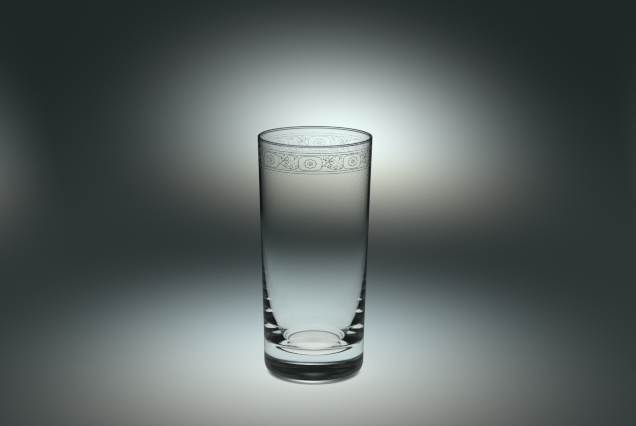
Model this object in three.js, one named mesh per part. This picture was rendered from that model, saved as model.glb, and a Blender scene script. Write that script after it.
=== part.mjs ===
// Highball glass: a tall, gently flared tumbler blown in one piece, with a heavy solid base
// and an etched frieze under the lip. Millimetres, +Z up, origin at the centre of the foot.

import * as THREE from "three";

// Overall size
const HEIGHT = 140;
const RIM_DIAMETER = 65.6;
const BASE_DIAMETER = 58.4;

// Outer wall: above the heel it rises straight, then eases into a straight flare
const STRAIGHT_RISE = 2;
const FLARE_EASE = 9;

// Foot: a rounded heel and a shallow kick leave a flat ring to stand on
const HEEL_WIDTH = 4.5;
const HEEL_HEIGHT = 7.3;
const KICK_DIAMETER = 30;
const KICK_DEPTH = 0.7;

// Lip: a round bead, a little thicker than the wall that it eases into
const LIP_THICKNESS = 1.3;
const BEAD_HEIGHT = 1;

// Bowl: a thin wall that thickens below its shoulder and turns into a flat floor
const WALL = 1.1;
const BASE_THICKNESS = 15;
const BOWL_FLOOR_DIAMETER = 22;
const SHOULDER_RISE = 76;
const SHOULDER_FULLNESS = 1.95;
const CORNER_FULLNESS = 3.3;

// Etched frieze: an ornamental field between two narrow line borders, cut only skin deep
const FRIEZE_BELOW_RIM = 4.1;
const BORDER_HEIGHT = 1.6;
const FIELD_HEIGHT = 8.8;
const ETCH_DEPTH = 0.15;
const ETCH_CLEARANCE = 0.02;

// Smoothness of the turned surfaces
const FACETS = 72;
const ARC_STEPS = 8;
const EASE_STEPS = 4;
const BEAD_STEPS = 4;
const BOWL_STEPS = 20;

const baseRadius = BASE_DIAMETER / 2;
const lipRadius = LIP_THICKNESS / 2;
const lipCentre = new THREE.Vector2(RIM_DIAMETER / 2 - lipRadius, HEIGHT - lipRadius);

// The flare is the line from the knee, where the straight base would end, that just touches the lip
const knee = new THREE.Vector2(baseRadius, HEEL_HEIGHT + STRAIGHT_RISE + FLARE_EASE);
const kneeToLip = lipCentre.clone().sub(knee);
const flareAngle = Math.atan2(kneeToLip.x, kneeToLip.y) + Math.asin(lipRadius / kneeToLip.length());
const flareSlope = Math.tan(flareAngle);

/** Radius of the flared outer wall at a height above the knee. */
function outerRadius(z) {
  return knee.x + flareSlope * (z - knee.y);
}

/** Radius of the inner wall: parallel to the flare, and thicker where the bead eases into the lip. */
function innerRadius(z) {
  const bead = THREE.MathUtils.smoothstep(z, lipCentre.y - BEAD_HEIGHT, lipCentre.y);
  const thickness = WALL + (LIP_THICKNESS - WALL) * bead;
  return outerRadius(z) - thickness / Math.cos(flareAngle);
}

/** Points of an elliptical arc about a centre, between two angles in radians. */
function arc(centre, radiusX, radiusZ, from, to, steps) {
  const clockwise = to < from;
  return new THREE.EllipseCurve(centre.x, centre.y, radiusX, radiusZ, from, to, clockwise).getPoints(steps);
}

/** Underside from the axis outwards: the domed kick, the standing ring and the heel. */
function footOutline() {
  const kickRadius = KICK_DIAMETER / 2;
  const domeRadius = (kickRadius ** 2 + KICK_DEPTH ** 2) / (2 * KICK_DEPTH);
  const domeCentre = new THREE.Vector2(0, KICK_DEPTH - domeRadius);
  const domeEdge = Math.PI / 2 - Math.asin(kickRadius / domeRadius);
  const heelCentre = new THREE.Vector2(baseRadius - HEEL_WIDTH, HEEL_HEIGHT);
  return [
    ...arc(domeCentre, domeRadius, domeRadius, Math.PI / 2, domeEdge, ARC_STEPS),
    ...arc(heelCentre, HEEL_WIDTH, HEEL_HEIGHT, -Math.PI / 2, 0, ARC_STEPS),
  ];
}

/** Straight base easing into the flare, up to the frieze. */
function wallOutline() {
  const easeStart = new THREE.Vector2(baseRadius, knee.y - FLARE_EASE);
  const easeEnd = new THREE.Vector2(outerRadius(knee.y + FLARE_EASE), knee.y + FLARE_EASE);
  return new THREE.QuadraticBezierCurve(easeStart, knee, easeEnd).getPoints(EASE_STEPS);
}

/** Shallow seat round the outside that the etched skin fills flush. */
function friezeSeatOutline() {
  return [
    new THREE.Vector2(outerRadius(friezeBottom), friezeBottom),
    new THREE.Vector2(outerRadius(friezeBottom) - ETCH_DEPTH, friezeBottom),
    new THREE.Vector2(outerRadius(friezeTop) - ETCH_DEPTH, friezeTop),
    new THREE.Vector2(outerRadius(friezeTop), friezeTop),
  ];
}

/** Round fire-polished lip, from the outer wall over to the inner one. */
function lipOutline() {
  return arc(lipCentre, lipRadius, lipRadius, -flareAngle, Math.PI - flareAngle, ARC_STEPS);
}

/** Inner side of the bead, easing from the lip into the thin wall. */
function beadOutline() {
  const points = [];
  for (let step = 1; step <= BEAD_STEPS; step++) {
    const z = lipCentre.y - (BEAD_HEIGHT * step) / BEAD_STEPS;
    points.push(new THREE.Vector2(innerRadius(z), z));
  }
  return points;
}

/** Inside from the shoulder down to the floor: a rounded taper between the wall and the flat floor. */
function bowlOutline() {
  const floorRadius = BOWL_FLOOR_DIAMETER / 2;
  const points = [];
  for (let step = 0; step <= BOWL_STEPS; step++) {
    const rise = SHOULDER_RISE * (1 - step / BOWL_STEPS) ** 2;
    const z = BASE_THICKNESS + rise;
    const taper = 1 - (1 - rise / SHOULDER_RISE) ** SHOULDER_FULLNESS;
    const spread = taper ** (1 / CORNER_FULLNESS);
    points.push(new THREE.Vector2(floorRadius + (innerRadius(z) - floorRadius) * spread, z));
  }
  points.push(new THREE.Vector2(0, BASE_THICKNESS));
  return points;
}

/** Closed section of an etched ring that fills its share of the seat. */
function ringOutline(bottom, top) {
  const depth = ETCH_DEPTH - ETCH_CLEARANCE;
  return [
    new THREE.Vector2(outerRadius(bottom) - depth, bottom),
    new THREE.Vector2(outerRadius(bottom), bottom),
    new THREE.Vector2(outerRadius(top), top),
    new THREE.Vector2(outerRadius(top) - depth, top),
    new THREE.Vector2(outerRadius(bottom) - depth, bottom),
  ];
}

/** A named piece turned about the vertical axis from its outline. */
function turned(name, outline, material) {
  const geometry = new THREE.LatheGeometry(outline, FACETS);
  geometry.rotateX(Math.PI / 2);
  const mesh = new THREE.Mesh(geometry, material);
  mesh.name = name;
  return mesh;
}

/** Clear, colourless glass. */
function clearGlass() {
  return new THREE.MeshStandardMaterial({
    color: 0xe9f0ef,
    roughness: 0.03,
    metalness: 0,
    transparent: true,
    opacity: 0.35,
  });
}

/** Glass whose surface has been frosted by the etching. */
function etchedGlass() {
  return new THREE.MeshStandardMaterial({
    color: 0xb9c1be,
    roughness: 0.6,
    metalness: 0,
    transparent: true,
    opacity: 0.6,
  });
}

// Levels of the frieze, from its lower edge to its upper edge
const friezeTop = HEIGHT - FRIEZE_BELOW_RIM;
const fieldTop = friezeTop - BORDER_HEIGHT;
const fieldBottom = fieldTop - FIELD_HEIGHT;
const friezeBottom = fieldBottom - BORDER_HEIGHT;

const tumblerOutline = [
  ...footOutline(),
  ...wallOutline(),
  ...friezeSeatOutline(),
  ...lipOutline(),
  ...beadOutline(),
  ...bowlOutline(),
];

const highballGlass = new THREE.Group();
highballGlass.add(
  turned("tumbler_body", tumblerOutline, clearGlass()),
  turned(
    "frieze_lower_border",
    ringOutline(friezeBottom + ETCH_CLEARANCE, fieldBottom - ETCH_CLEARANCE / 2),
    etchedGlass(),
  ),
  turned(
    "frieze_field",
    ringOutline(fieldBottom + ETCH_CLEARANCE / 2, fieldTop - ETCH_CLEARANCE / 2),
    etchedGlass(),
  ),
  turned(
    "frieze_upper_border",
    ringOutline(fieldTop + ETCH_CLEARANCE / 2, friezeTop - ETCH_CLEARANCE),
    etchedGlass(),
  ),
);

export default highballGlass;
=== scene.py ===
"""Highball glass: a tall clear tumbler with a heavy base and an etched scroll frieze under its lip.

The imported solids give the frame. The tumbler is turned again here with a finer outline, and the frieze
is drawn flat as fine strokes and wrapped round the wall. Metres, +Z up, the viewer on the -Y side.
"""

import logging
import math
from dataclasses import dataclass
from enum import Enum
from typing import Callable, Optional, Union

import bmesh
import bpy
from mathutils import Matrix, Vector


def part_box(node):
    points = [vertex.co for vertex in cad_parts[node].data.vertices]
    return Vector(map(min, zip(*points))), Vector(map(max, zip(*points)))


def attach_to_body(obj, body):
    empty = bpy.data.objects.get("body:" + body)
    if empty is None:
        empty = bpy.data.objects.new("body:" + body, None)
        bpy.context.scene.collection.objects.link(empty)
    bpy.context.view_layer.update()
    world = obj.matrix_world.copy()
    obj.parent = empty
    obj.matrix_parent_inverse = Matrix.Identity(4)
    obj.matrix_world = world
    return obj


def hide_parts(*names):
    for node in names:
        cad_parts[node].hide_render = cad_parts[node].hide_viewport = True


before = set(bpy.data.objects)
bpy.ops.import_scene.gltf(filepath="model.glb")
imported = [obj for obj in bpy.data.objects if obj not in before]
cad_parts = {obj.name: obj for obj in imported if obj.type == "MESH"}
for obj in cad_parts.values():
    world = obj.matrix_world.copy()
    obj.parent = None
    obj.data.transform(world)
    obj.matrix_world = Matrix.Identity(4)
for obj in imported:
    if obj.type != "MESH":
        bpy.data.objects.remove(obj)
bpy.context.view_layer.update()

MM = 0.001
FULL_TURN = 2.0 * math.pi

# Angle of the viewer's side in a plan, and of the lowest point of an arc in an outline
FRONT = -math.pi / 2
DOWN = -math.pi / 2

BODY = "root"

# Points nearer than the first are merged, and edges shorter than the second are taken out
MERGE_DISTANCE = 0.0005 * MM
SHORTEST_EDGE = 0.0001 * MM

# Between no bounce of a light path and one
ANY_BOUNCE = 0.5

Colour = tuple[float, float, float]
Point = tuple[float, float]
Input = Union[float, int, tuple, bpy.types.NodeSocket, "Value"]

WHITE: Colour = (1.0, 1.0, 1.0)

log = logging.getLogger("highball")


class Slot(Enum):
    """Material slots of the record."""

    CLEAR = "clear_glass"
    ETCHED = "etched_glass"


class Value:
    """A number that a node gives; arithmetic on it adds Math nodes."""

    def __init__(self, nodes: "Nodes", socket: bpy.types.NodeSocket) -> None:
        """Keeps the tree and the socket that gives the number."""
        self.nodes = nodes
        self.socket = socket

    def __add__(self, other: Input) -> "Value":
        """Sum."""
        return self.nodes.math("ADD", self, other)

    __radd__ = __add__

    def __sub__(self, other: Input) -> "Value":
        """Difference."""
        return self.nodes.math("SUBTRACT", self, other)

    def __rsub__(self, other: Input) -> "Value":
        """Difference from another number."""
        return self.nodes.math("SUBTRACT", other, self)

    def __mul__(self, other: Input) -> "Value":
        """Product."""
        return self.nodes.math("MULTIPLY", self, other)

    __rmul__ = __mul__

    def __truediv__(self, other: Input) -> "Value":
        """Quotient."""
        return self.nodes.math("DIVIDE", self, other)

    def __rpow__(self, base: float) -> "Value":
        """Power of a base."""
        return self.nodes.math("POWER", base, self)

    def __mod__(self, other: Input) -> "Value":
        """Remainder, never negative."""
        return self.nodes.math("FLOORED_MODULO", self, other)

    def bell(self, centre: float, spread: Input) -> "Value":
        """Bell curve of this number.

        Args:
            centre: Where the curve is 1.
            spread: Standard deviation.

        Returns:
            A value from 0 to 1.
        """
        offset = (self - centre) / spread
        return math.e ** (offset * offset * -0.5)

    def ramp(self, low: float, high: float) -> "Value":
        """Smooth step of this number.

        Args:
            low: Where the step is 0.
            high: Where the step is 1.

        Returns:
            A value from 0 to 1.
        """
        node = self.nodes.add(
            "ShaderNodeMapRange",
            {"interpolation_type": "SMOOTHSTEP"},
            {"Value": self, "From Min": low, "From Max": high},
        )
        return Value(self.nodes, node.outputs["Result"])


class Nodes:
    """Adds nodes to one shader tree."""

    def __init__(self, owner: Union[bpy.types.Material, bpy.types.World]) -> None:
        """Empties the owner's tree.

        Args:
            owner: Material or world that the nodes belong to.
        """
        owner.use_nodes = True
        self.tree = owner.node_tree
        self.tree.nodes.clear()

    def add(
        self, kind: str, settings: Optional[dict] = None, inputs: Optional[dict] = None,
    ) -> bpy.types.Node:
        """Adds a node.

        Args:
            kind: Node type.
            settings: Properties of the node, set first.
            inputs: Numbers, colours, sockets or values for its sockets, by name or index.

        Returns:
            The node.
        """
        node = self.tree.nodes.new(kind)
        for name, setting in (settings or {}).items():
            setattr(node, name, setting)
        for name, source in (inputs or {}).items():
            self.feed(node.inputs[name], source)
        return node

    def feed(self, socket: bpy.types.NodeSocket, source: Input) -> None:
        """Links a socket to its source, or sets it.

        Args:
            socket: Input socket.
            source: Number, colour, socket or value.
        """
        if isinstance(source, Value):
            source = source.socket
        if isinstance(source, bpy.types.NodeSocket):
            self.tree.links.new(source, socket)
        elif isinstance(source, tuple) and socket.type == "RGBA":
            socket.default_value = (*source, 1.0)
        else:
            socket.default_value = source

    def math(self, operation: str, *terms: Input) -> Value:
        """Adds a Math node.

        Args:
            operation: What it works out.
            terms: Its inputs in order.

        Returns:
            Its result.
        """
        node = self.add("ShaderNodeMath", {"operation": operation}, dict(enumerate(terms)))
        return Value(self, node.outputs["Value"])

    def vector_math(self, operation: str, *terms: Input) -> bpy.types.Node:
        """Adds a Vector Math node with its inputs in order."""
        return self.add("ShaderNodeVectorMath", {"operation": operation}, dict(enumerate(terms)))

    def place(self) -> tuple[bpy.types.NodeSocket, Value, Value, Value]:
        """Object coordinates.

        Returns:
            The vector, then its x, y and z.
        """
        vector = self.add("ShaderNodeTexCoord").outputs["Object"]
        parts = self.add("ShaderNodeSeparateXYZ", inputs={"Vector": vector})
        return (vector, *(Value(self, parts.outputs[axis]) for axis in "XYZ"))

    def noise(self, vector: bpy.types.NodeSocket, scale: float, detail: float) -> Value:
        """Soft random pattern.

        Args:
            vector: Coordinates that it reads.
            scale: Features per metre.
            detail: Octaves.

        Returns:
            A value from 0 to 1.
        """
        node = self.add("ShaderNodeTexNoise", inputs={"Vector": vector, "Scale": scale, "Detail": detail})
        return Value(self, node.outputs["Fac"])

    def blend(self, share: Input, first: Input, second: Input) -> bpy.types.NodeSocket:
        """Mixes two colours.

        Args:
            share: How much of the second is taken.
            first: Colour at 0.
            second: Colour at 1.

        Returns:
            The colour's socket.
        """
        node = self.add("ShaderNodeMix", {"data_type": "RGBA"}, {0: share, 6: first, 7: second})
        return node.outputs[2]

    def finish(self, kind: str, shader: bpy.types.Node) -> None:
        """Links a shader to the output.

        Args:
            kind: Type of the output node.
            shader: Node whose first output is shown.
        """
        self.add(kind, inputs={"Surface": shader.outputs[0]})


@dataclass(frozen=True)
class ClearGlass:
    """Fire-polished colourless glass with a trace of green, faint waves and a worn standing ring."""

    tint: Colour = (0.994, 1.0, 0.998)
    streak_tint: Colour = (0.986, 0.996, 0.992)
    index: float = 1.52
    wear_height: float = 0.1 * MM
    wear_roughness: float = 0.05
    scuff_scale: float = 900.0
    scuff_detail: float = 4.0
    drawn_out: float = 0.35
    streak_scale: float = 26.0
    streak_detail: float = 3.0
    wave_scale: float = 55.0
    wave_detail: float = 1.0
    wave_depth: float = 0.012 * MM
    wave_strength: float = 1.0

    def make(self) -> bpy.types.Material:
        """Builds the material.

        Returns:
            The material.
        """
        material = bpy.data.materials.new("clear_glass")
        nodes = Nodes(material)
        vector, _, _, height = nodes.place()
        drawn = nodes.vector_math("MULTIPLY", vector, (1.0, 1.0, self.drawn_out)).outputs["Vector"]
        streaks = nodes.noise(drawn, self.streak_scale, self.streak_detail)
        waves = nodes.noise(drawn, self.wave_scale, self.wave_detail)
        scuffs = nodes.noise(vector, self.scuff_scale, self.scuff_detail)
        worn = (1.0 - height.ramp(0.0, self.wear_height)) * scuffs
        bump = nodes.add("ShaderNodeBump", inputs={
            "Height": waves, "Distance": self.wave_depth, "Strength": self.wave_strength,
        })
        shader = nodes.add("ShaderNodeBsdfPrincipled", inputs={
            "Base Color": nodes.blend(streaks, self.tint, self.streak_tint),
            "Roughness": worn * self.wear_roughness,
            "IOR": self.index,
            "Transmission Weight": 1.0,
            "Normal": bump.outputs["Normal"],
        })
        nodes.finish("ShaderNodeOutputMaterial", shader)
        return material


@dataclass(frozen=True)
class EtchedLine:
    """Satin line bitten into the glass: grey-green, uneven where the acid took more or less.

    The side that lies against the glass is painted paler than the bare side and drawn fainter: painted
    light for what reaches it through the glass.
    """

    pale: Colour = (0.06, 0.075, 0.07)
    deep: Colour = (0.015, 0.02, 0.018)
    inner_painted_light: Colour = (0.74, 0.79, 0.77)
    grain_scale: float = 2600.0
    patch_scale: float = 340.0
    detail: float = 2.0
    bite_range: Point = (0.35, 0.65)
    smooth: float = 0.42
    rough: float = 0.75
    cover: float = 0.62
    inner_cover: float = 0.28
    side_blur: float = 0.2
    edge_blend: float = 0.5
    edge_fade: Point = (0.55, 0.95)
    grain_depth: float = 0.02 * MM
    grain_strength: float = 0.6

    def make(self) -> bpy.types.Material:
        """Builds the material.

        Returns:
            The material.
        """
        material = bpy.data.materials.new("etched_line")
        nodes = Nodes(material)
        vector = nodes.place()[0]
        grain = nodes.noise(vector, self.grain_scale, self.detail)
        patches = nodes.noise(vector, self.patch_scale, self.detail)
        bite = (grain + patches) / 2
        normal = nodes.add("ShaderNodeNewGeometry").outputs["Normal"]
        level = nodes.vector_math("MULTIPLY", vector, (1.0, 1.0, 0.0)).outputs["Vector"]
        outward = nodes.vector_math("NORMALIZE", level).outputs["Vector"]
        facing = Value(nodes, nodes.vector_math("DOT_PRODUCT", normal, outward).outputs["Value"])
        inward = 1.0 - facing.ramp(-self.side_blur, self.side_blur)
        bare = nodes.blend(bite.ramp(*self.bite_range), self.pale, self.deep)
        bump = nodes.add("ShaderNodeBump", inputs={
            "Height": grain, "Distance": self.grain_depth, "Strength": self.grain_strength,
        })
        weight = nodes.add("ShaderNodeLayerWeight", inputs={"Blend": self.edge_blend})
        edge = Value(nodes, weight.outputs["Facing"])
        # Painted light: the side facing into the glass is paler and fainter, for light that reaches it
        # through the glass
        cover = self.cover + inward * (self.inner_cover - self.cover)
        shader = nodes.add("ShaderNodeBsdfPrincipled", inputs={
            "Base Color": nodes.blend(inward, bare, self.inner_painted_light),
            "Roughness": self.smooth + grain * (self.rough - self.smooth),
            "Specular IOR Level": 0.0,
            "Alpha": cover * (1.0 - edge.ramp(*self.edge_fade)),
            "Normal": bump.outputs["Normal"],
        })
        nodes.finish("ShaderNodeOutputMaterial", shader)
        return material


@dataclass(frozen=True)
class SweepPaper:
    """Seamless studio paper: a pool of light on its floor and soft patches of light low on its wall.

    The wall on both sides of the patch behind the glass stays unlit, with patches at even steps beyond.
    Mirrored light is dimmed: the pool's where it only skims the outside of the glass, the wall's always.
    The floor is painted brighter where the base gathers light, and painted dark in the crevice under the
    heel as a contact shadow.
    """

    radius: float = 350.0 * MM
    near: Colour = (0.74, 0.775, 0.72)
    far: Colour = (0.61, 0.755, 0.785)
    tint_from: float = -90.0 * MM
    tint_to: float = 140.0 * MM
    pool_centre: Point = (-7.0 * MM, 25.0 * MM)
    pool_spread: Point = (69.0 * MM, 92.0 * MM)
    foot: Colour = (0.026, 0.035, 0.036)
    dim: Colour = (0.014, 0.020, 0.020)
    dim_height: float = 150.0 * MM
    dark: Colour = (0.003, 0.0055, 0.006)
    dark_from: float = 190.0 * MM
    dark_to: float = 260.0 * MM
    glow_cool: Colour = (0.87, 0.99, 0.975)
    glow_warm: Colour = (0.96, 0.98, 0.86)
    glow_side: float = 21.0 * MM
    glow_height: float = 72.0 * MM
    glow_aside: float = 61.0 * MM
    glow_above: float = 38.5 * MM
    glow_below: float = 30.6 * MM
    glow_lean: float = 0.21
    warm_from: float = 10.2 * MM
    floor_fall: float = 0.25
    patches: int = 8
    unlit_steps: float = 0.8
    lit_steps: float = 2.0
    wall_start: float = 2.0 * MM
    wall_full: float = 20.0 * MM
    matt_share: float = 0.14
    mirror_loss: float = 0.85
    skim_loss: float = 0.72
    gathered: Colour = (0.95, 0.985, 0.95)
    gathered_spread: float = 15.0 * MM
    crevice_radius: float = 25.8 * MM
    crevice_spread: float = 0.9 * MM
    crevice_shade: float = 0.75

    def make(self) -> bpy.types.Material:
        """Builds the material: a floor that takes a shadow, and a wall that is clear from outside.

        Returns:
            The material.
        """
        material = bpy.data.materials.new("sweep_paper")
        nodes = Nodes(material)
        _, across, along, height = nodes.place()
        path = nodes.add("ShaderNodeLightPath").outputs
        wall = height.ramp(self.wall_start, self.wall_full)
        mirrored = nodes.math("GREATER_THAN", path["Glossy Depth"], ANY_BOUNCE)
        skimmed = mirrored * nodes.math("LESS_THAN", path["Transmission Depth"], ANY_BOUNCE)
        reach = nodes.math("SQRT", across * across + along * along)
        turn = nodes.math("ARCTAN2", across, along)
        colour = nodes.blend(height.ramp(0.0, self.dim_height), self.foot, self.dim)
        high = nodes.math("MAXIMUM", height.ramp(self.dark_from, self.dark_to), wall * mirrored)
        colour = nodes.blend(high, colour, self.dark)
        pale = nodes.blend(along.ramp(self.tint_from, self.tint_to), self.near, self.far)
        colour = nodes.blend(self.pool(across, along) * (1.0 - skimmed * self.skim_loss), colour, pale)
        glow, warmth = self.glow(nodes, turn, reach, height, mirrored)
        colour = nodes.blend(glow, colour, nodes.blend(warmth, self.glow_cool, self.glow_warm))
        # Painted light: the floor is brighter where the base gathers light
        colour = nodes.blend(reach.bell(0.0, self.gathered_spread), colour, self.gathered)
        # Painted contact shadow: a dark ring on the floor in the crevice under the heel
        crevice = reach.bell(self.crevice_radius, self.crevice_spread) * self.crevice_shade
        colour = nodes.blend(crevice, colour, self.dark)
        matt = nodes.add("ShaderNodeBsdfDiffuse", inputs={"Color": colour})
        bright = nodes.add("ShaderNodeEmission", inputs={"Color": colour})
        paper = nodes.add("ShaderNodeMixShader", inputs={
            0: self.matt_share * (1.0 - wall), 1: bright.outputs[0], 2: matt.outputs[0],
        })
        outside = 1.0 - Value(nodes, nodes.add("ShaderNodeNewGeometry").outputs["Backfacing"])
        # Light that a matt surface has scattered goes through the wall to the plain light of the world
        scattered = nodes.math("GREATER_THAN", path["Diffuse Depth"], ANY_BOUNCE)
        clear = nodes.add("ShaderNodeBsdfTransparent")
        nodes.finish("ShaderNodeOutputMaterial", nodes.add("ShaderNodeMixShader", inputs={
            0: wall * nodes.math("MAXIMUM", outside, scattered), 1: paper.outputs[0], 2: clear.outputs[0],
        }))
        return material

    def pool(self, across: Value, along: Value) -> Value:
        """Pool of light on the floor, from 0 to 1."""
        beside = across.bell(self.pool_centre[0], self.pool_spread[0])
        return beside * along.bell(self.pool_centre[1], self.pool_spread[1])

    def glow(
        self, nodes: Nodes, turn: Value, reach: Value, height: Value, mirrored: Value,
    ) -> tuple[Value, Value]:
        """Patches of light on the wall, each leaning a little and spilling onto the floor.

        Args:
            nodes: The material's tree.
            turn: Angle round the vertical axis, 0 straight behind the glass.
            reach: Distance from the vertical axis.
            height: Object z.
            mirrored: 1 on paths that a reflection has turned; they see only the patch behind the glass.

        Returns:
            The amount of light and how warm it is, both from 0 to 1.
        """
        rise = height + (reach - self.radius) * self.floor_fall
        arc = turn * self.radius - self.glow_side - (self.glow_height - rise) * self.glow_lean
        step = FULL_TURN * self.radius / self.patches
        nearest = (arc + step / 2) % step - step / 2
        share = nodes.math("ABSOLUTE", arc).ramp(step * self.unlit_steps, step * self.lit_steps)
        behind = arc.bell(0.0, self.glow_aside) * (1.0 - mirrored * self.mirror_loss)
        around = nearest.bell(0.0, self.glow_aside) * share * (1.0 - mirrored)
        beside = nodes.math("MAXIMUM", behind, around)
        upper = nodes.math("GREATER_THAN", rise, self.glow_height)
        fall = self.glow_below + upper * (self.glow_above - self.glow_below)
        warmth = (self.glow_height - rise).ramp(-self.warm_from, self.glow_above)
        return beside * rise.bell(self.glow_height, fall), warmth


@dataclass(frozen=True)
class StudioSurround:
    """Soft even light for matt surfaces, and near darkness overhead for clear ones."""

    light: float = 0.9
    overhead: Colour = (0.003, 0.004, 0.004)

    def make(self) -> bpy.types.World:
        """Builds the world.

        Returns:
            The world.
        """
        world = bpy.data.worlds.new("studio")
        nodes = Nodes(world)
        seen = nodes.add("ShaderNodeBackground", inputs={"Color": self.overhead})
        plain = nodes.add("ShaderNodeBackground", inputs={"Strength": self.light, "Color": WHITE})
        path = nodes.add("ShaderNodeLightPath").outputs
        clear = nodes.math("MAXIMUM", path["Is Camera Ray"], path["Is Glossy Ray"])
        clear = nodes.math("MAXIMUM", clear, path["Is Transmission Ray"])
        clear = clear * nodes.math("LESS_THAN", path["Diffuse Depth"], ANY_BOUNCE)
        nodes.finish("ShaderNodeOutputWorld", nodes.add("ShaderNodeMixShader", inputs={
            0: clear, 1: plain.outputs[0], 2: seen.outputs[0],
        }))
        return world


def keep_piece(name: str, mesh: bmesh.types.BMesh, material: bpy.types.Material) -> bpy.types.Object:
    """Makes a smooth object at the origin from a finished bmesh.

    Args:
        name: Name of the piece.
        mesh: Its shape, freed afterwards.
        material: Its finish.

    Returns:
        The object.
    """
    data = bpy.data.meshes.new(name)
    for face in mesh.faces:
        face.smooth = True
    mesh.to_mesh(data)
    mesh.free()
    data.materials.append(material)
    piece = bpy.data.objects.new(name, data)
    bpy.context.scene.collection.objects.link(piece)
    return piece


def attach(piece: bpy.types.Object, node: Optional[str] = None) -> None:
    """Ties a piece to the frame.

    Args:
        piece: The piece.
        node: Solid that it stands for, if any.
    """
    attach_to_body(piece, BODY)
    if node:
        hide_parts(node)
    log.info("%s: %d faces", piece.name, len(piece.data.polygons))


def turn_outline(outline: list[Point], steps: int) -> bmesh.types.BMesh:
    """Turns an outline once round the vertical axis.

    Args:
        outline: Radius and height of each point, in order.
        steps: Steps of the full turn.

    Returns:
        The turned shape, closed where the outline is on the axis.
    """
    mesh = bmesh.new()
    ring = [mesh.verts.new((radius, 0.0, height)) for radius, height in outline]
    edges = [mesh.edges.new(pair) for pair in zip(ring, ring[1:])]
    bmesh.ops.spin(
        mesh, geom=ring + edges, cent=(0, 0, 0), axis=(0, 0, 1), angle=FULL_TURN, steps=steps,
        use_merge=True,
    )
    bmesh.ops.remove_doubles(mesh, verts=mesh.verts, dist=MERGE_DISTANCE)
    bmesh.ops.dissolve_degenerate(mesh, edges=mesh.edges, dist=SHORTEST_EDGE)
    bmesh.ops.recalc_face_normals(mesh, faces=mesh.faces)
    return mesh


def span(start: float, stop: float, steps: int) -> list[float]:
    """Evenly spaced numbers from start to stop, both included."""
    return [start + (stop - start) * step / steps for step in range(steps + 1)]


def ellipse(centre: Point, radii: Point, start: float, stop: float, steps: int) -> list[Point]:
    """Points of an elliptical arc.

    Args:
        centre: Its centre.
        radii: Its two half axes.
        start: First angle in radians.
        stop: Last angle.
        steps: Steps between them.

    Returns:
        The points in order.
    """
    return [
        (centre[0] + radii[0] * math.cos(angle), centre[1] + radii[1] * math.sin(angle))
        for angle in span(start, stop, steps)
    ]


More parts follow.
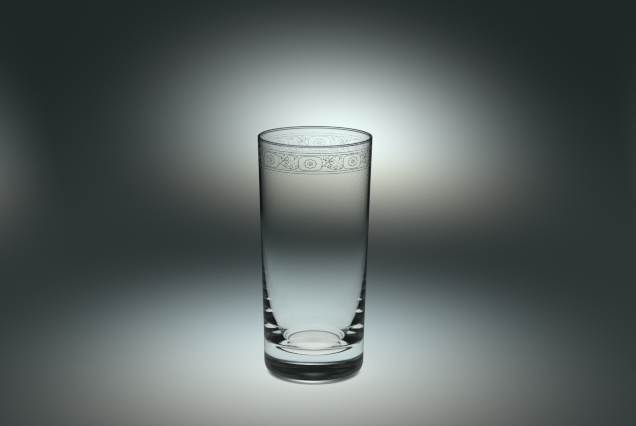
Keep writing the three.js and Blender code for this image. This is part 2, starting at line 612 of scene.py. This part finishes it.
@dataclass
class Tumbler:
    """The blown body: straight foot, gentle flare, round lip and a bowl over a heavy solid base."""

    height: float
    rim_radius: float
    base_radius: float = 29.2 * MM
    heel_width: float = 4.5 * MM
    heel_height: float = 7.3 * MM
    kick_radius: float = 15.0 * MM
    kick_depth: float = 0.7 * MM
    straight_rise: float = 2.0 * MM
    flare_ease: float = 9.0 * MM
    lip_thickness: float = 1.3 * MM
    bead_height: float = 1.0 * MM
    wall: float = 1.1 * MM
    base_thickness: float = 15.0 * MM
    floor_radius: float = 11.0 * MM
    shoulder_rise: float = 76.0 * MM
    shoulder_fullness: float = 1.95
    corner_fullness: float = 3.3
    guard: float = 0.1 * MM
    turn_steps: int = 256
    kick_steps: int = 20
    heel_steps: int = 28
    ease_steps: int = 16
    outer_steps: int = 24
    lip_steps: int = 24
    bead_steps: int = 12
    inner_steps: int = 16
    bowl_steps: int = 110
    bowl_crowding: float = 2.2
    floor_steps: int = 10

    def __post_init__(self) -> None:
        """Works out the places that follow from the sizes: the outer wall just touches the round lip."""
        self.lip_radius = self.lip_thickness / 2
        self.lip = Vector((self.rim_radius - self.lip_radius, self.height - self.lip_radius))
        self.knee = Vector((self.base_radius, self.heel_height + self.straight_rise + self.flare_ease))
        rise = self.lip - self.knee
        self.flare = math.atan2(rise.x, rise.y) + math.asin(self.lip_radius / rise.length)
        self.shoulder = self.base_thickness + self.shoulder_rise
        self.bead_foot = self.lip.y - self.bead_height

    def outer_radius(self, height: float) -> float:
        """Radius of the flared outer wall at a height."""
        return self.knee.x + math.tan(self.flare) * (height - self.knee.y)

    def inner_radius(self, height: float) -> float:
        """Radius of the inner wall at a height: parallel to the flare, thicker where the bead eases in.

        Args:
            height: Height above the floor.

        Returns:
            The radius.
        """
        bead = min(max((height - self.bead_foot) / self.bead_height, 0.0), 1.0)
        bead = bead * bead * (3.0 - 2.0 * bead)
        thickness = self.wall + bead * (self.lip_thickness - self.wall)
        return self.outer_radius(height) - thickness / math.cos(self.flare)

    def foot(self) -> list[Point]:
        """Underside from the axis outwards: the kick, the standing ring and the heel.

        Returns:
            Points of the outline.
        """
        kick = [
            (self.kick_radius * share, self.kick_depth * (1.0 + math.cos(math.pi * share)) / 2)
            for share in span(0.0, 1.0, self.kick_steps)
        ]
        heel_start = self.base_radius - self.heel_width
        ring = [(self.kick_radius + self.guard, 0.0), (heel_start - self.guard, 0.0)]
        heel_size = (self.heel_width, self.heel_height)
        heel = ellipse((heel_start, self.heel_height), heel_size, DOWN, 0.0, self.heel_steps)
        return kick + ring + heel + [(self.base_radius, self.heel_height + self.guard)]

    def outside(self) -> list[Point]:
        """Outer wall from the heel to the lip, easing from straight into the flare.

        Returns:
            Points of the outline.
        """
        start = Vector((self.base_radius, self.knee.y - self.flare_ease))
        top = self.knee.y + self.flare_ease
        end = Vector((self.outer_radius(top), top))
        ease = [
            tuple(start.lerp(self.knee, share).lerp(self.knee.lerp(end, share), share))
            for share in span(0.0, 1.0, self.ease_steps)
        ]
        lip_touch = self.lip.y - self.lip_radius * math.sin(self.flare)
        heights = span(top, lip_touch - self.guard, self.outer_steps)[1:]
        return ease + [(self.outer_radius(height), height) for height in heights]

    def lip_round(self) -> list[Point]:
        """Round fire-polished lip from the outer wall to the inner one."""
        radii = (self.lip_radius, self.lip_radius)
        return ellipse(tuple(self.lip), radii, -self.flare, math.pi - self.flare, self.lip_steps)

    def inside(self) -> list[Point]:
        """Inside from the lip to the axis: thin wall, rounded taper below the shoulder, flat floor.

        Returns:
            Points of the outline.
        """
        lip_touch = self.lip.y + self.lip_radius * math.sin(self.flare)
        bead = span(lip_touch - self.guard, self.bead_foot, self.bead_steps)
        wall = bead + span(self.bead_foot, self.shoulder, self.inner_steps)[1:-1]
        points = [(self.inner_radius(height), height) for height in wall]
        for share in span(1.0, 0.0, self.bowl_steps):
            rise = self.shoulder_rise * share ** self.bowl_crowding
            height = self.base_thickness + rise
            taper = 1.0 - (1.0 - rise / self.shoulder_rise) ** self.shoulder_fullness
            reach = self.inner_radius(height) - self.floor_radius
            points.append((self.floor_radius + reach * taper ** (1.0 / self.corner_fullness), height))
        floor = span(self.floor_radius, 0.0, self.floor_steps)[1:]
        return points + [(radius, self.base_thickness) for radius in floor]

    def build(self, glass: bpy.types.Material) -> None:
        """Turns the body.

        Args:
            glass: Its finish.
        """
        outline = self.foot() + self.outside() + self.lip_round() + self.inside()
        piece = keep_piece("tumbler_glass", turn_outline(outline, self.turn_steps), glass)
        attach(piece, "tumbler_body")


@dataclass(frozen=True)
class Stroke:
    """A line of the ornament: points in millimetres across and up from the middle of a roundel."""

    points: tuple[Point, ...]
    width: float
    closed: bool = False
    taper: float = 1.0


@dataclass
class Frieze:
    """The etched band: two line borders and, between them, rosettes in roundels joined by leafy scrolls.

    The drawing of the field, from roundel on, is in millimetres.
    """

    tumbler: Tumbler
    repeats: int = 8
    phase: float = math.radians(-4.6)
    line_width: float = 0.28 * MM
    line_inset: float = 0.15 * MM
    line_sides: int = 8
    turn_steps: int = 192
    relief: float = 0.25
    roundel: Point = (6.6, 4.0)
    roundel_fullness: float = 3.6
    roundel_width: float = 0.32
    roundel_steps: int = 24
    rosette: Point = (3.5, 2.6)
    petals: int = 8
    petal_notch: float = 0.20
    petal_fullness: float = 0.6
    petal_width: float = 0.30
    petal_steps: int = 6
    ring_share: float = 0.40
    ring_width: float = 0.24
    eye_share: float = 0.20
    eye_width: float = 0.34
    ring_steps: int = 12
    stem_width: float = 0.38
    tendril_width: float = 0.32
    curl_width: float = 0.30
    stem_taper: float = 0.6
    leaf_breadth: float = 0.28
    leaf_belly: float = 0.45
    leaf_width: float = 0.27
    leaf_taper: float = 0.7
    midrib_length: float = 0.8
    midrib_width: float = 0.22
    midrib_taper: float = 0.5
    berry_radius: float = 0.3
    berry_segments: tuple[int, int] = (8, 5)
    stroke_roundness: int = 1
    stroke_steps: int = 5

    def __post_init__(self) -> None:
        """Finds the middle of the field from the frame."""
        low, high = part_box("frieze_field")
        self.middle = (low.z + high.z) / 2
        self.middle_radius = self.tumbler.outer_radius(self.middle)

    def wrap(self, mesh: bmesh.types.BMesh) -> bmesh.types.BMesh:
        """Bends a flat drawing round the wall and repeats it.

        Args:
            mesh: Drawing in millimetres, lying in the XY plane.

        Returns:
            The same mesh, in place.
        """
        for vertex in mesh.verts:
            across, up, out = vertex.co * MM
            height = self.middle + up
            angle = FRONT + self.phase + across / self.middle_radius
            radius = self.tumbler.outer_radius(height) + out * self.relief
            vertex.co = (radius * math.cos(angle), radius * math.sin(angle), height)
        geometry = mesh.verts[:] + mesh.edges[:] + mesh.faces[:]
        copies = self.repeats - 1
        bmesh.ops.spin(
            mesh, geom=geometry, cent=(0, 0, 0), axis=(0, 0, 1), angle=FULL_TURN * copies / self.repeats,
            steps=copies, use_duplicate=True,
        )
        return mesh

    def draw(self, strokes: list[Stroke]) -> bmesh.types.BMesh:
        """Draws strokes as round lines in the XY plane.

        Args:
            strokes: The lines.

        Returns:
            Their mesh, in millimetres.
        """
        drawing = bpy.data.curves.new("drawing", "CURVE")
        drawing.dimensions = "3D"
        # Half a unit, so that the radius of a knot states the full width of the line
        drawing.bevel_depth = 1 / 2
        drawing.bevel_resolution = self.stroke_roundness
        drawing.resolution_u = self.stroke_steps
        drawing.use_fill_caps = True
        for stroke in strokes:
            last = len(stroke.points) - 1
            spline = drawing.splines.new("BEZIER")
            spline.bezier_points.add(last)
            spline.use_cyclic_u = stroke.closed
            for index, (knot, point) in enumerate(zip(spline.bezier_points, stroke.points)):
                knot.co = (*point, 0.0)
                knot.handle_left_type = "AUTO"
                knot.handle_right_type = "AUTO"
                knot.radius = stroke.width * (1.0 + (stroke.taper - 1.0) * index / last)
        holder = bpy.data.objects.new("drawing", drawing)
        bpy.context.scene.collection.objects.link(holder)
        graph = bpy.context.evaluated_depsgraph_get()
        flat = bpy.data.meshes.new_from_object(holder.evaluated_get(graph))
        mesh = bmesh.new()
        mesh.from_mesh(flat)
        bpy.data.objects.remove(holder)
        bpy.data.curves.remove(drawing)
        bpy.data.meshes.remove(flat)
        return mesh

    def border(self, name: str, node: str, finish: bpy.types.Material) -> None:
        """Builds the two fine lines of a border.

        Args:
            name: Name of the piece.
            node: Solid that it stands for.
            finish: Etched finish.
        """
        low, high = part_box(node)
        half = (self.line_width / 2 * self.relief, self.line_width / 2)
        mesh = bmesh.new()
        for height in (low.z + self.line_inset, high.z - self.line_inset):
            centre = (self.tumbler.outer_radius(height), height)
            ring = turn_outline(ellipse(centre, half, 0.0, FULL_TURN, self.line_sides), self.turn_steps)
            part = bpy.data.meshes.new(name)
            ring.to_mesh(part)
            ring.free()
            mesh.from_mesh(part)
            bpy.data.meshes.remove(part)
        attach(keep_piece(name, mesh, finish), node)

    def roundels(self) -> list[Stroke]:
        """Rounded-square frames.

        Returns:
            The strokes.
        """
        power = 2.0 / self.roundel_fullness
        points = []
        for angle in span(0.0, FULL_TURN, self.roundel_steps)[:-1]:
            cosine, sine = math.cos(angle), math.sin(angle)
            points.append((
                self.roundel[0] * math.copysign(abs(cosine) ** power, cosine),
                self.roundel[1] * math.copysign(abs(sine) ** power, sine),
            ))
        return [Stroke(tuple(points), self.roundel_width, closed=True)]

    def rosettes(self) -> list[Stroke]:
        """Rosettes of rounded petals round a ring and an eye.

        Returns:
            The strokes.
        """
        wide, tall = self.rosette
        outline = []
        for angle in span(0.0, FULL_TURN, self.petals * self.petal_steps)[:-1]:
            swell = abs(math.cos(angle * self.petals / 2)) ** self.petal_fullness
            lobe = 1.0 - self.petal_notch + self.petal_notch * swell
            outline.append((wide * lobe * math.cos(angle), tall * lobe * math.sin(angle)))
        strokes = [Stroke(tuple(outline), self.petal_width, closed=True)]
        for share, width in ((self.ring_share, self.ring_width), (self.eye_share, self.eye_width)):
            ring = ellipse((0.0, 0.0), (wide * share, tall * share), 0.0, FULL_TURN, self.ring_steps)
            strokes.append(Stroke(tuple(ring[:-1]), width, closed=True))
        return strokes

    def scrolls(self) -> list[Stroke]:
        """Main stem from one roundel to the next, with a lower tendril and an upper curl.

        Returns:
            The strokes.
        """
        stem = (
            (5.95, -1.9), (7.6, -1.1), (9.3, 0.35), (10.4, 1.5), (12.0, 3.1), (13.6, 4.0), (15.3, 4.1),
            (16.4, 3.5), (16.6, 2.2), (15.9, 1.2),
        )
        tendril = ((7.6, -1.1), (9.6, -2.0), (11.4, -2.9), (14.0, -3.6), (17.0, -3.5), (18.6, -2.6))
        curl = ((9.3, 0.35), (8.2, 1.8), (7.4, 3.0), (7.3, 4.2))
        lines = ((stem, self.stem_width), (tendril, self.tendril_width), (curl, self.curl_width))
        return [Stroke(points, width, taper=self.stem_taper) for points, width in lines]

    def leaves(self) -> list[Stroke]:
        """Pointed leaves on the stems, each with two edges and a midrib.

        Returns:
            The strokes.
        """
        stalks = (
            ((10.4, 1.5), (13.6, 2.3)), ((10.2, 0.6), (13.4, 0.1)), ((9.6, -2.0), (12.6, -1.1)),
            ((14.0, -3.5), (15.3, -0.9)), ((16.6, 2.2), (18.5, 4.0)), ((8.2, 1.8), (10.4, 3.8)),
            ((17.0, -3.5), (18.8, -1.0)),
        )
        strokes = []
        for base, tip in stalks:
            start, end = Vector(base), Vector(tip)
            run = end - start
            side = Vector((-run.y, run.x)) * self.leaf_breadth
            for edge in (-1.0, 1.0):
                belly = start + run * self.leaf_belly + side * edge
                strokes.append(Stroke((base, tuple(belly), tip), self.leaf_width, taper=self.leaf_taper))
            rib_tip = tuple(start + run * self.midrib_length)
            strokes.append(Stroke((base, rib_tip), self.midrib_width, taper=self.midrib_taper))
        return strokes

    def berries(self) -> bmesh.types.BMesh:
        """Small berries near the tips of the tendrils.

        Returns:
            Their mesh, in millimetres.
        """
        tips = (
            (7.3, 2.6), (10.6, 4.2), (14.3, 3.1), (15.2, 0.5), (16.4, -0.3), (11.4, -1.6), (13.2, -2.2),
            (14.0, 1.3), (18.2, 0.6), (9.4, -3.6),
        )
        round_steps, height_steps = self.berry_segments
        mesh = bmesh.new()
        for across, up in tips:
            bmesh.ops.create_uvsphere(
                mesh, u_segments=round_steps, v_segments=height_steps, radius=self.berry_radius,
                matrix=Matrix.Translation((across, up, 0.0)),
            )
        return mesh

    def build(self, finish: bpy.types.Material) -> None:
        """Builds every piece of the band.

        Args:
            finish: Etched finish.
        """
        self.border("etched_upper_lines", "frieze_upper_border", finish)
        self.border("etched_lower_lines", "frieze_lower_border", finish)
        drawings: dict[str, Callable[[], list[Stroke]]] = {
            "etched_roundels": self.roundels,
            "etched_rosettes": self.rosettes,
            "etched_scrolls": self.scrolls,
            "etched_leaves": self.leaves,
        }
        for name, strokes in drawings.items():
            piece = keep_piece(name, self.wrap(self.draw(strokes())), finish)
            attach(piece, "frieze_field" if name == "etched_scrolls" else None)
        attach(keep_piece("etched_berries", self.wrap(self.berries()), finish))


@dataclass
class Studio:
    """Seamless paper, surround and render paths."""

    paper: SweepPaper = SweepPaper()
    paper_height: float = 420.0 * MM
    cove: float = 30.0 * MM
    cove_steps: int = 12
    floor_gap: float = 0.2 * MM
    turn_steps: int = 192
    bounces: int = 32
    filter_width: float = 1.15

    def build(self) -> None:
        """Lays the paper and sets the world."""
        edge = self.paper.radius
        bend = ellipse((edge - self.cove, self.cove), (self.cove, self.cove), DOWN, 0.0, self.cove_steps)
        outline = [(0.0, 0.0), *bend, (edge, self.paper_height)]
        lowered = [(radius, height - self.floor_gap) for radius, height in outline]
        mesh = turn_outline(lowered, self.turn_steps)
        keep_piece("floor", mesh, self.paper.make())
        scene = bpy.context.scene
        scene.world = StudioSurround().make()
        scene.world.cycles.sampling_method = "NONE"
        scene.view_settings.view_transform = "Standard"
        scene.cycles.max_bounces = self.bounces
        scene.cycles.transmission_bounces = self.bounces
        scene.cycles.glossy_bounces = self.bounces
        scene.cycles.use_denoising = True
        scene.cycles.denoising_input_passes = "RGB"
        scene.cycles.filter_width = self.filter_width


@dataclass
class PhotographCamera:
    """Camera at the photograph's viewing angle."""

    distance: float = 900.0 * MM
    height: float = 300.6 * MM
    pitch: float = math.radians(12.89)
    turn: float = math.radians(0.123)
    roll: float = math.radians(-0.35)
    focal_pixels: float = 1601.0
    image_width: float = 636.0
    sensor_width: float = 36.0
    clip_start: float = 10.0 * MM

    def build(self) -> None:
        """Places the camera and makes it the scene's."""
        lens = bpy.data.cameras.new("camera")
        lens.sensor_width = self.sensor_width
        lens.lens = self.sensor_width * self.focal_pixels / self.image_width
        lens.clip_start = self.clip_start
        camera = bpy.data.objects.new("camera", lens)
        camera.matrix_world = (
            Matrix.Translation((0.0, -self.distance, self.height))
            @ Matrix.Rotation(-self.turn, 4, "Z")
            @ Matrix.Rotation(math.pi / 2 - self.pitch, 4, "X")
            @ Matrix.Rotation(-self.roll, 4, "Z")
        )
        bpy.context.scene.collection.objects.link(camera)
        bpy.context.scene.camera = camera


def main() -> None:
    """Builds the studio, the tumbler and its frieze."""
    logging.basicConfig(level=logging.INFO)
    PhotographCamera().build()
    Studio().build()
    _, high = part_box("tumbler_body")
    tumbler = Tumbler(height=high.z, rim_radius=high.x)
    tumbler.build(ClearGlass().make())
    Frieze(tumbler).build(EtchedLine().make())


if __name__ == "__main__":
    main()
